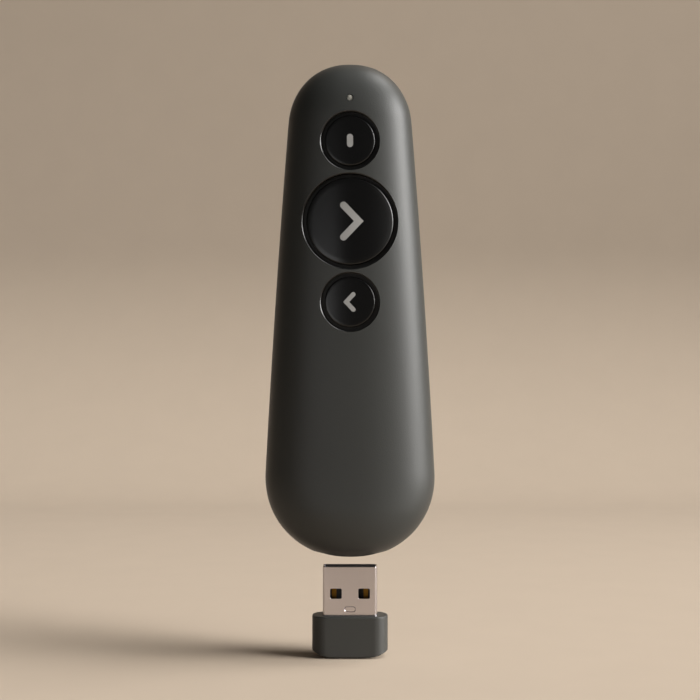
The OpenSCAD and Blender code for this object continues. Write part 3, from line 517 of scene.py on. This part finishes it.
PIN_SINK, DOME_H = 0.05, 0.16
pin_front = -surface_at(FRONT, 0, LED_T) + PIN_SINK
pin_l = (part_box("led_light_pipe")[1].y - SEAM_Y) / MM - pin_front
dome = [(LED_R * math.sin(math.radians(a)), DOME_H * (1 - math.cos(math.radians(a))))
        for a in range(8, 91, 9)]
light_pin = turned("light_pin", dome + [(LED_R, 1.0), (LED_R, pin_l)], 48)
cap_ends()
shape(lambda c: Vector((c.x, SEAM_Y + pin_front * MM + c.z, (LIFT + LED_T) * MM + c.y)))
close(light_pin, 50)
clear_pin = finish("frosted_clear_acrylic", "#B4B2A8", grain_mm=0.3, relief_mm=0.002, mottle=0.04,
                   Roughness=0.25, IOR=1.49)
dress(light_pin, clear_pin)
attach(light_pin, "presenter")
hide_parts("led_light_pipe")

# ---- Board and switches -----------------------------------------------------------------------
# The main board of glass-epoxy with green solder mask, reflow soldered with its chips, its three
# tact switches (nickel silver covers, black plungers) and the white diode of the status light.

light_diode = finish("white_diode_housing", "#D8D6CC", grain_mm=0.3, mottle=0.05, Roughness=0.4)
dress(nodes["circuit_board"], solder_mask)
dress(nodes["board_chips"], epoxy)
dress(nodes["status_led"], light_diode)
for name in buttons:
    dress(nodes[name + "_switch"], nickel)
    dress(nodes[name + "_plunger"], black_pbt)

# ---- Laser ------------------------------------------------------------------------------------
# A turned brass barrel holds the diode in its gold-plated can and a moulded acrylic lens. A red
# tinted window, glued into the rear housing, keeps dust out.

barrel_brass = finish("turned_brass", "#C9A227", grain_mm=0.15, relief_mm=0.002, mottle=0.1,
                      Metallic=1.0, Roughness=0.3)
lens_acrylic = finish("moulded_clear_acrylic", "#E9F0F2", grain_mm=0.4, relief_mm=0.0005,
                      mottle=0.02, Roughness=0.05, IOR=1.49, Transmission_Weight=0.9)
red_window = finish("red_tinted_acrylic", "#3A0A0C", grain_mm=0.4, relief_mm=0.0005, mottle=0.05,
                    Roughness=0.08, IOR=1.49)
dress(nodes["laser_barrel"], barrel_brass)
# The diode's can takes the same gold, painted darker as shade.
dress(nodes["laser_diode"], gold_with_painted_shade)
dress(nodes["laser_lens"], lens_acrylic)
dress(nodes["laser_window"], red_window)

# ---- Chassis, springs and contacts ------------------------------------------------------------
# The chassis is moulded from grey-black ABS. The contact plates are stamped from nickel-plated
# steel, and the conical springs are wound from nickel-plated spring wire.

inner_abs = finish("moulded_inner_abs", "#2B2B2D", grain_mm=0.35, relief_mm=0.004, mottle=0.08,
                   Roughness=0.5, IOR=1.5)
dress(nodes["chassis"], inner_abs)
for name in ("bridge_contact", "contact_plus", "contact_minus"):
    dress(nodes[name], nickel)
for name in ("spring_bottom", "spring_top"):
    spring = nodes[name]
    dress(spring, nickel)
    weld = spring.modifiers.new("weld", "WELD")
    weld.merge_threshold = 0.002 * MM
    rounded = spring.modifiers.new("rounded", "SUBSURF")
    rounded.levels = rounded.render_levels = 1

# ---- Cells ------------------------------------------------------------------------------------
# Two AAA cells lie side by side, one each way up. Each is a steel can in a printed plastic
# jacket that is shrunk over its two ends: black, with a copper-coloured band at the plus end.

CELL_L, CELL_X, CELL_D, SPRING_L = 44.5, 5.6, 4.0, 5.2
SLEEVE_T, BAY_SPACE, END_WALL, CONTACT_T = 1.0, 2.45, 1.0, 0.3
BAY_LOW = SLEEVE_TOP + SLEEVE_T + BAY_SPACE + END_WALL + CONTACT_T
FOOT_TO, BAND_FROM, CAP_FROM = 0.006, 0.74, 0.974


def jacket_material():
    """The jacket's colours by the place along the cell, which the piece keeps as an attribute."""
    made = finish("printed_cell_jacket", "#232325", grain_mm=0.5, relief_mm=0.001, mottle=0.04,
                  Roughness=0.3, IOR=1.52)
    tree = made.node_tree
    shader = tree.nodes["Principled BSDF"]
    black = shader.inputs["Base Color"].links[0].from_socket
    along = add(tree, "Attribute", {}, attribute_name="along").outputs["Fac"]
    band = add(tree, "Math", {0: along, 1: BAND_FROM}, operation="GREATER_THAN")
    top = add(tree, "Math", {0: along, 1: CAP_FROM}, operation="GREATER_THAN")
    foot = add(tree, "Math", {0: along, 1: FOOT_TO}, operation="LESS_THAN")
    bare = add(tree, "Math", {0: top.outputs["Value"], 1: foot.outputs["Value"]},
               operation="MAXIMUM").outputs["Value"]
    printed = add(tree, "MixRGB", {"Fac": band.outputs["Value"], "Color1": black,
                                   "Color2": linear("#B87333")})
    whole = add(tree, "MixRGB", {"Fac": bare, "Color1": printed.outputs["Color"],
                                 "Color2": linear("#A9A39B")})
    tree.links.new(whole.outputs["Color"], shader.inputs["Base Color"])
    tree.links.new(bare, shader.inputs["Metallic"])
    return made


def twin(piece, name, move):
    """A copy of a piece with its own mesh, its corners moved."""
    other = piece.copy()
    other.data = piece.data.copy()
    other.name = other.data.name = name
    bpy.context.collection.objects.link(other)
    reopen(other)
    shape(move)
    return leave(other)


cell_base = LIFT + BAY_LOW + SPRING_L
cell_left = turned("cell_left", [
    (3.2, 0.25), (3.5, 0.06), (4.4, 0.0), (4.75, 0.05), (5.05, 0.22), (5.18, 0.5), (5.2, 0.8),
    (5.2, 32.4), (5.2, 42.9), (5.15, 43.25), (4.9, 43.55), (4.5, 43.68), (4.2, 43.6), (4.0, 43.4),
    (2.4, 43.35), (2.05, 43.5), (1.92, 43.8), (1.9, 44.2), (1.75, 44.42), (1.5, 44.5),
    (0.4, 44.5)], 72)
cap_ends()
shape(lambda c: c + Vector((-CELL_X * MM, SEAM_Y + CELL_D * MM, cell_base * MM)))
close(cell_left, 40)
along = cell_left.data.attributes.new("along", "FLOAT", "POINT")
for corner in cell_left.data.vertices:
    along.data[corner.index].value = (corner.co.z / MM - cell_base) / CELL_L
jacket = jacket_material()
dress(cell_left, jacket)
whole_stack = 2 * LIFT + 2 * BAY_LOW + SPRING_L + CELL_L
cell_right = twin(cell_left, "cell_right",
                  lambda c: Vector((-c.x, c.y, whole_stack * MM - c.z)))
for cell, node in ((cell_left, "battery_left"), (cell_right, "battery_right")):
    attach(cell, "presenter")
    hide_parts(node)

# ---- Storage sleeve ---------------------------------------------------------------------------
# A moulded pocket in the lower end of the remote, where the receiver is kept. A leaf spring of
# nickel-plated steel bears on the plug of the stored receiver.

dress(nodes["receiver_sleeve"], inner_abs)
dress(nodes["sleeve_spring"], nickel)

# ---- Rear housing -----------------------------------------------------------------------------
# The rear half: the same painted ABS. It has the door's opening, two decks inside with hollow
# posts for the four screws, a slot for the door's latch, and the laser's aperture in its tip.

DOOR_LOW, DOOR_TOP, DOOR_CORNER, DOOR_GAP = 17.5, 81.5, 4.0, 0.25
DOOR_LOW_W, DOOR_TOP_W, DOOR_T = 14.0, 11.8, 1.6
KNUCKLE_R, KNUCKLE_W, KNUCKLE_GAP = 0.5, 5.0, 0.3
HINGE_T = DOOR_LOW + KNUCKLE_R + 0.02
HINGE_D = surface_at(BACK, KNUCKLE_W, HINGE_T) - KNUCKLE_R + 0.1
DECK_T, DECK_CUTS = 1.2, 23
LATCH_T, LATCH_W, LATCH_GAP = DOOR_TOP - 2.6, 3.0, 0.4
POST_R, HEAD_R, SHANK_R, SEAT_D, POST_D, POST_OUT = 2.35, 1.6, 1.0, -0.35, -1.35, 0.2
LASER_D, APERTURE_R, APERTURE_L = 2.8, 1.6, 9.0
WINDOW_R, WINDOW_GAP, PANE_T, BOSS_R, BOSS_BELOW = 2.0, 0.05, 1.2, 2.65, 0.8
PANE_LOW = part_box("laser_window")[0].z / MM - LIFT
BOSS_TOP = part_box("laser_window")[1].z / MM - LIFT + 0.5

# Each deck: its lower and upper edge and its depth. Each screw, left and right: its x and height.
decks = {"lower_deck": (DOOR_LOW - 2.3, 23.9, 7.0), "upper_deck": (76.9, DOOR_TOP + 4.8, 5.95)}
screw_spots = {(12.15, 20.8): "lower_deck", (8.2, 79.2): "upper_deck"}


def door_side(t):
    """Half width of the door at height t, without its round corners."""
    return DOOR_LOW_W + (DOOR_TOP_W - DOOR_LOW_W) * (t - DOOR_LOW) / (DOOR_TOP - DOOR_LOW)


def door_half(t, grow=0.0):
    """Half width of the door at height t: a tapered plate with round corners."""
    r = DOOR_CORNER + grow
    e = max(0.0, r - min(t - DOOR_LOW + grow, DOOR_TOP + grow - t))
    return door_side(t) + grow - r + math.sqrt(max(0.0, r * r - e * e))


def steps(low, high, count):
    return [low + (high - low) * k / count for k in range(count + 1)]


def door_heights(grow=0.0):
    """Heights of the rows of the door, close together where its corners turn."""
    low, high, r = DOOR_LOW - grow, DOOR_TOP + grow, DOOR_CORNER + grow
    turn = [r * (1 - math.cos(a)) for a in steps(0, math.pi / 2, 10)[:-1]]
    return ([low + h for h in turn] + steps(low + r, high - r, 40)
            + [high - h for h in reversed(turn)])


def sheet(name, across, ts, place):
    """Opens a grid with rows at the heights ts; place(u, t) gives a corner, u from -1 to 1."""
    bpy.ops.mesh.primitive_grid_add(x_subdivisions=across, y_subdivisions=len(ts) - 1, size=2)
    piece = begin(name)
    last = len(ts) - 1
    shape(lambda c: place(c.x, ts[round((c.y + 1) / 2 * last)]))
    return piece


def inner_half_width(t, d, inset):
    """Half width at depth d of the surface that lies inset behind the back."""
    w, full, e = half_width(t) - inset, depth(BACK, t) - inset, SQUARENESS[BACK]
    return w * max(0.0, 1 - min(1.0, d / full) ** e) ** (1 / e)


rear_housing = half_skin("rear_housing", BACK)
apply(rear_housing, "SOLIDIFY", thickness=WALL * MM, offset=-1)
cut_dock(rear_housing)
opening = sheet("tool", 1, door_heights(DOOR_GAP), lambda u, t: Vector(
    (u * door_half(t, DOOR_GAP) * MM, SEAM_Y, (LIFT + t) * MM)))
bpy.ops.mesh.select_all(action="SELECT")
bpy.ops.mesh.extrude_region_move(TRANSFORM_OT_translate={"value": (0, 18 * MM, 0)})
close(opening)
cut(rear_housing, opening)
hinge_at, aperture_at = (0, HINGE_T, HINGE_D), (0, PANE_LOW + APERTURE_L / 2, LASER_D)
cut(rear_housing, leave(bar("tool", 2 * KNUCKLE_R, 2 * (KNUCKLE_W + KNUCKLE_GAP), hinge_at,
                            ALONG_X, 48)))
cut(rear_housing, leave(bar("tool", APERTURE_R, APERTURE_L, aperture_at, UPRIGHT, 64)))
reopen(rear_housing)
close(rear_housing, 35)

inside = []
for name, (t0, t1, d) in decks.items():
    deck = block(name, (-1, t0, d), (1, t1, d + DECK_T))
    pick("EDGE", lambda e: abs(e.verts[0].co.z - e.verts[1].co.z) > 1 * MM)
    bpy.ops.mesh.subdivide(number_cuts=DECK_CUTS)

    def width(t, d=d):
        """Half width of the deck: up to the middle of the wall, and clear of the door."""
        w = min(inner_half_width(t, d + DECK_T, WALL / 2), inner_half_width(t, d, WALL / 2))
        if DOOR_LOW - DOOR_GAP < t < DOOR_TOP + DOOR_GAP:
            w = min(w, inner_half_width(t, d + DECK_T + 0.3, DOOR_T))
        return w

    shape(lambda c: Vector((math.copysign(width(c.z / MM - LIFT) * MM, c.x), c.y, c.z)))
    inside.append(close(deck))
for (x, t), deck_name in screw_spots.items():
    deck_d = decks[deck_name][2]
    deck = inside[list(decks).index(deck_name)]
    for side in (-1, 1):
        bore(deck, side * x, t, HEAD_R, deck_d - 2, deck_d + 4, 48)
        post_l, seat_l = deck_d + POST_OUT - POST_D, SEAT_D - POST_D
        post = turned("post", [(POST_R, 0), (POST_R, post_l), (HEAD_R, post_l), (HEAD_R, seat_l),
                               (SHANK_R, seat_l), (SHANK_R, 0)], 48)
        join_ends()
        shape(lambda c: Vector((side * x * MM + c.x, SEAM_Y + POST_D * MM + c.z,
                                (LIFT + t) * MM + c.y)))
        inside.append(close(post))
cut(inside[1], block_tool((-LATCH_W - LATCH_GAP, LATCH_T - LATCH_GAP, 5),
                          (LATCH_W + LATCH_GAP, LATCH_T + 1.6, 9)))
boss_low = PANE_LOW - BOSS_BELOW
boss_l, stop = BOSS_TOP - boss_low, PANE_LOW + PANE_T - boss_low
pocket_r = WINDOW_R + WINDOW_GAP
boss = turned("window_boss", [
    (BOSS_R, 0), (BOSS_R, boss_l - 0.2), (BOSS_R - 0.2, boss_l), (APERTURE_R + 0.15, boss_l),
    (APERTURE_R, boss_l - 0.15), (APERTURE_R, stop), (pocket_r, stop), (pocket_r, 0)], 64)
join_ends()
shape(lambda c: c + Vector((0, SEAM_Y + LASER_D * MM, (LIFT + boss_low) * MM)))
inside.append(close(boss))
for piece in inside + [rear_housing]:
    dress(piece, soft_touch)
join(rear_housing, inside)
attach(rear_housing, "presenter")
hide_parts("back_shell")

# ---- Screws -----------------------------------------------------------------------------------
# Four self-tapping screws of plated steel, with cross recesses. Their heads sit in the rear
# housing's posts, under the battery door, and they bite into bosses of the front housing.

dress(nodes["case_screws"], nickel)

# ---- Battery door -----------------------------------------------------------------------------
# A moulded door of the same painted ABS, curved like the back. It turns on a knuckle at its lower
# edge between two tabs, and its latch springs behind the upper deck. A notch takes a fingernail.

NAIL_R, NAIL_UP, NAIL_DEEP, OUTSIDE_D = 4.0, 1.8, 0.7, 17.0
TAB_X, TAB_W, TAB_T = 8.0, 3.0, 0.9
TAB_LOW, TAB_FOOT, TAB_TOP = DOOR_LOW - 2, DOOR_LOW + 0.4, DOOR_LOW + 2.2
LATCH_FRONT = 6.15


def foot(start, beyond, reach):
    """Extrudes the part of one side of the open block that lies past start, along beyond."""
    bpy.ops.mesh.select_all(action="SELECT")
    bpy.ops.mesh.bisect(plane_co=start, plane_no=beyond)
    way = Vector(reach).normalized()
    pick("FACE", lambda f: f.normal.dot(way) > 0.9
         and (f.calc_center_median() - Vector(start)).dot(Vector(beyond)) > 0)
    bpy.ops.mesh.extrude_region_move(TRANSFORM_OT_translate={"value": reach})


battery_cover = sheet("battery_cover", 28, door_heights(), lambda u, t: Vector((
    u * door_half(t) * MM,
    SEAM_Y + (SEAM_GAP / 2 + surface_at(BACK, u * door_half(t), t)) * MM, (LIFT + t) * MM)))
close(battery_cover)
if sum(f.normal.y for f in battery_cover.data.polygons) < 0:
    battery_cover.data.flip_normals()
apply(battery_cover, "SOLIDIFY", thickness=DOOR_T * MM, offset=-1, use_even_offset=True)
cut(battery_cover, block_tool((-KNUCKLE_W - 0.2, DOOR_LOW - 1, HINGE_D - KNUCKLE_R / 2),
                              (KNUCKLE_W + 0.2, HINGE_T, OUTSIDE_D)))
bore(battery_cover, 0, DOOR_TOP + NAIL_UP, NAIL_R, surface_at(BACK, 0, DOOR_TOP) - NAIL_DEEP,
     OUTSIDE_D, 96)
reopen(battery_cover)
close(battery_cover, 35)

knuckle = bar("knuckle", KNUCKLE_R, 2 * KNUCKLE_W, hinge_at, ALONG_X, 32)
pick("EDGE", lambda e: e.calc_face_angle(0) > 1)
bpy.ops.mesh.bevel(offset=0.12 * MM, segments=3, affect="EDGES")
fittings = [close(knuckle)]
tab_back = surface_at(BACK, TAB_X + TAB_W / 2, TAB_LOW) - WALL - 0.45
tab_reach = surface_at(BACK, TAB_X, DOOR_LOW) - 1 - tab_back
for side in (-1, 1):
    tab = block("tab", (side * TAB_X - TAB_W / 2, TAB_LOW, tab_back - TAB_T),
                (side * TAB_X + TAB_W / 2, TAB_TOP, tab_back))
    foot((0, 0, (LIFT + TAB_FOOT) * MM), (0, 0, 1), (0, tab_reach * MM, 0))
    fittings.append(close(tab))
latch = block("latch", (-LATCH_W, LATCH_T, LATCH_FRONT),
              (LATCH_W, LATCH_T + 1, surface_at(BACK, LATCH_W, DOOR_TOP) - 0.6))
pick("EDGE", lambda e: middle(e).y < SEAM_Y + (LATCH_FRONT + 0.05) * MM)
bpy.ops.mesh.bevel(offset=0.2 * MM, segments=3, affect="EDGES")
fittings.append(close(latch))
for piece in fittings + [battery_cover]:
    dress(piece, soft_touch)
join(battery_cover, fittings)
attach(battery_cover, "door")
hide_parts("battery_door")

pad_foam = finish("black_polyurethane_foam", "#1A1A1B", grain_mm=0.5, relief_mm=0.08, mottle=0.3,
                  Roughness=0.95)
dress(nodes["door_pad"], pad_foam)

# ---- Buttons ----------------------------------------------------------------------------------
# Three round caps of black ABS, moulded in a fine satin finish, with a rounded edge and a pale
# grey mark inlaid in the face. Each has a stem that presses its switch, and two legs that clip
# behind the floor of its well.

TRAY_T, BOARD_T, SWITCH_T, PLUNGER_OUT = 0.8, 1.0, 1.0, 0.4
PLUNGER_D = POST_D - TRAY_T - BOARD_T - SWITCH_T - PLUNGER_OUT
STEM_R, STEM_CHAMFER, ROOT = 1.3, 0.15, 0.3
LEG_W, LEG_T, LEG_IN, HOOK, HOOK_T, HOOK_GAP = 2.0, 0.9, 1.3, 0.4, 0.6, 0.1
SLOPE_SPAN = 3


def crown(t, r, x, up, sunk):
    """Depth of the face of a button: the front is a round bar there, leaning back with the body."""
    below, above = surface_at(FRONT, 0, t - SLOPE_SPAN), surface_at(FRONT, 0, t + SLOPE_SPAN)
    slope = (below - above) / (2 * SLOPE_SPAN)
    bar_r = (r * r + drop(t, r) ** 2) / (2 * drop(t, r))
    bow = bar_r - math.sqrt(max(0.0, bar_r * bar_r - x * x))
    return -surface_at(FRONT, 0, t) + sunk + bow * math.sqrt(1 + slope * slope) + up * slope


satin_black = finish("satin_black_abs", "#0D0D0D", grain_mm=0.12, relief_mm=0.001, mottle=0.05,
                     Roughness=0.24, IOR=1.45)
grey_inlay = finish("pale_grey_inlay", "#AFADA9", grain_mm=0.15, relief_mm=0.002, mottle=0.04,
                    Roughness=0.45)
for name, (t, r) in buttons.items():
    back = cap_back(t, r)
    floor_back = back + TRAVEL + PRESS_GAP + FLOOR_T
    face = [(r * k / 14, 0) for k in range(1, 13)]
    edge = [(r - inwards, deep) for inwards, deep in (
        (0.32, 0.0), (0.22, 0.018), (0.12, 0.065), (0.05, 0.125), (0.015, 0.2), (0.0, 0.3))]
    button = turned(name + "_button_cap", face + edge + [(r, FLAT)], 128)
    cap_ends()

    def seat(c, t=t, r=r, back=back):
        """Turns the cap to the front. Its face follows the surface, and its back is level."""
        x, up, deep = c.x / MM, c.y / MM, c.z / MM
        d = back if deep > FLAT / 2 else min(back, crown(t, r, x, up, CAP_SINK) + deep)
        return Vector((c.x, SEAM_Y + d * MM, (LIFT + t + up) * MM))

    shape(seat)
    parts = [close(button, 25)]
    stem_l = PLUNGER_D - back + ROOT
    stem = turned("stem", [(STEM_R, 0), (STEM_R, stem_l - STEM_CHAMFER),
                           (STEM_R - STEM_CHAMFER, stem_l)], 32)
    cap_ends()
    shape(lambda c: Vector((c.x, SEAM_Y + (back - ROOT) * MM + c.z, (LIFT + t) * MM + c.y)))
    parts.append(close(stem))
    hook_front = floor_back + HOOK_GAP
    for side in (-1, 1):
        heights = sorted((t + side * (r - LEG_IN - LEG_T), t + side * (r - LEG_IN)))
        leg = block("leg", (-LEG_W / 2, heights[0], back - ROOT),
                    (LEG_W / 2, heights[1], hook_front + HOOK_T))
        foot((0, SEAM_Y + hook_front * MM, 0), (0, 1, 0), (0, 0, side * HOOK * MM))
        parts.append(close(leg))
    for part in parts:
        dress(part, satin_black)
    join(parts[0], parts[1:])
    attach(parts[0], name + "_button")
    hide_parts(name + "_cap")
    dress(nodes[name + "_mark"], grey_inlay)

# ---- Floor, backdrop and light ----------------------------------------------------------------
# A sheet of plain pale paper lies under the object and curves up into a wall behind it. A soft
# box with a grid lights the object from the right, a second one lights the wall from above, and a
# weak card stands at the left. The room around gives back a little warm light.

WALL_Y, COVE_R, PAPER_HALF_W, PAPER_FRONT, PAPER_TOP = 0.42, 0.12, 2.5, -2.0, 1.6
FLAT_ROWS, COVE_ROWS, PAPER_ROWS = 12, 22, 40
bpy.ops.mesh.primitive_grid_add(x_subdivisions=1, y_subdivisions=PAPER_ROWS, size=2)
floor = begin("floor")


def sweep(c):
    """The paper's rows, from in front of the camera, round the cove and up the wall."""
    row = (c.y + 1) / 2 * PAPER_ROWS
    x, low, cove_y = c.x * PAPER_HALF_W, -0.0002, WALL_Y - COVE_R
    if row <= FLAT_ROWS:
        return Vector((x, PAPER_FRONT + (cove_y - PAPER_FRONT) * row / FLAT_ROWS, low))
    if row <= FLAT_ROWS + COVE_ROWS:
        a = math.pi / 2 * (row - FLAT_ROWS) / COVE_ROWS
        return Vector((x, cove_y + COVE_R * math.sin(a), COVE_R * (1 - math.cos(a)) + low))
    wall_rows = PAPER_ROWS - FLAT_ROWS - COVE_ROWS
    up = (row - FLAT_ROWS - COVE_ROWS) / wall_rows
    return Vector((x, WALL_Y, COVE_R + PAPER_TOP * up))


shape(sweep)
close(floor, 60)
paper = finish("pale_backdrop_paper", "#CEBCA8", grain_mm=1.5, relief_mm=0.0, mottle=0.01,
               Roughness=0.9)

# The camera and every mirror image see the paper as it is. As a source of soft light it counts for
# less, like a sheet that black flags shade outside the picture.
SOFT_SHARE = 0.22
tree = paper.node_tree
shader = tree.nodes["Principled BSDF"]
ray = add(tree, "LightPath", {})
seen = add(tree, "Math", {0: ray.outputs["Is Camera Ray"], 1: ray.outputs["Is Glossy Ray"]},
           operation="MAXIMUM")
seen = add(tree, "Math", {0: seen.outputs["Value"], 1: ray.outputs["Is Transmission Ray"]},
           operation="MAXIMUM")
share = add(tree, "MapRange", {"Value": seen.outputs["Value"], "To Min": SOFT_SHARE,
                              "To Max": 1.0})
colour = shader.inputs["Base Color"].links[0].from_socket
bounce = add(tree, "MixRGB", {"Fac": 1.0, "Color1": colour, "Color2": share.outputs["Result"]},
             blend_type="MULTIPLY")
tree.links.new(bounce.outputs["Color"], shader.inputs["Base Color"])
dress(floor, paper)


def soft_box(name, place, aim, wide, tall, watts, colour, spread=180):
    """A rectangular soft box that points at a place; a grid narrows the spread of its light."""
    bpy.ops.object.light_add(type="AREA", location=place)
    made = bpy.context.object
    made.name = name
    made.data.shape = "RECTANGLE"
    made.data.size, made.data.size_y = wide, tall
    made.data.energy = watts
    made.data.color = linear(colour)[:3]
    made.data.spread = math.radians(spread)
    made.rotation_euler = (Vector(aim) - Vector(place)).to_track_quat("-Z", "Y").to_euler()
    return made


soft_box("key_light", (1.05, -0.28, 0.44), (0, 0, 0.06), 0.7, 0.85, 3.1, "#FFFEFC", spread=50)
soft_box("wall_light", (0.6, 0.05, 1.2), (0.1, 0.42, 0.15), 0.5, 0.5, 8, "#FFFEFC")
soft_box("left_card", (-0.36, -0.87, 0.05), (0, 0, 0.1), 0.44, 0.26, 0.72, "#FFFFFF")

world = bpy.data.worlds.new("warm_room")
bpy.context.scene.world = world
world.use_nodes = True
tree = world.node_tree
way = add(tree, "TexCoord", {})
sides = add(tree, "SeparateXYZ", {"Vector": way.outputs["Generated"]})
level = add(tree, "MapRange", {"Value": sides.outputs["X"], "From Min": 0.4, "From Max": 1.0,
                               "To Min": 0.06, "To Max": 1.45})
room = tree.nodes["Background"]
room.inputs["Color"].default_value = linear("#E8E4DF")
tree.links.new(level.outputs["Result"], room.inputs["Strength"])

CAMERA_AWAY, CAMERA_UP = 0.323, 0.0675
bpy.ops.object.camera_add(location=(0, SEAM_Y - CAMERA_AWAY, CAMERA_UP),
                          rotation=(math.pi / 2, 0, 0))
camera = bpy.context.object
camera.name = "camera"
camera.data.lens = 75
camera.data.sensor_width = 36
camera.data.clip_start = 0.01
bpy.context.scene.camera = camera
bpy.context.scene.view_settings.view_transform = "Standard"
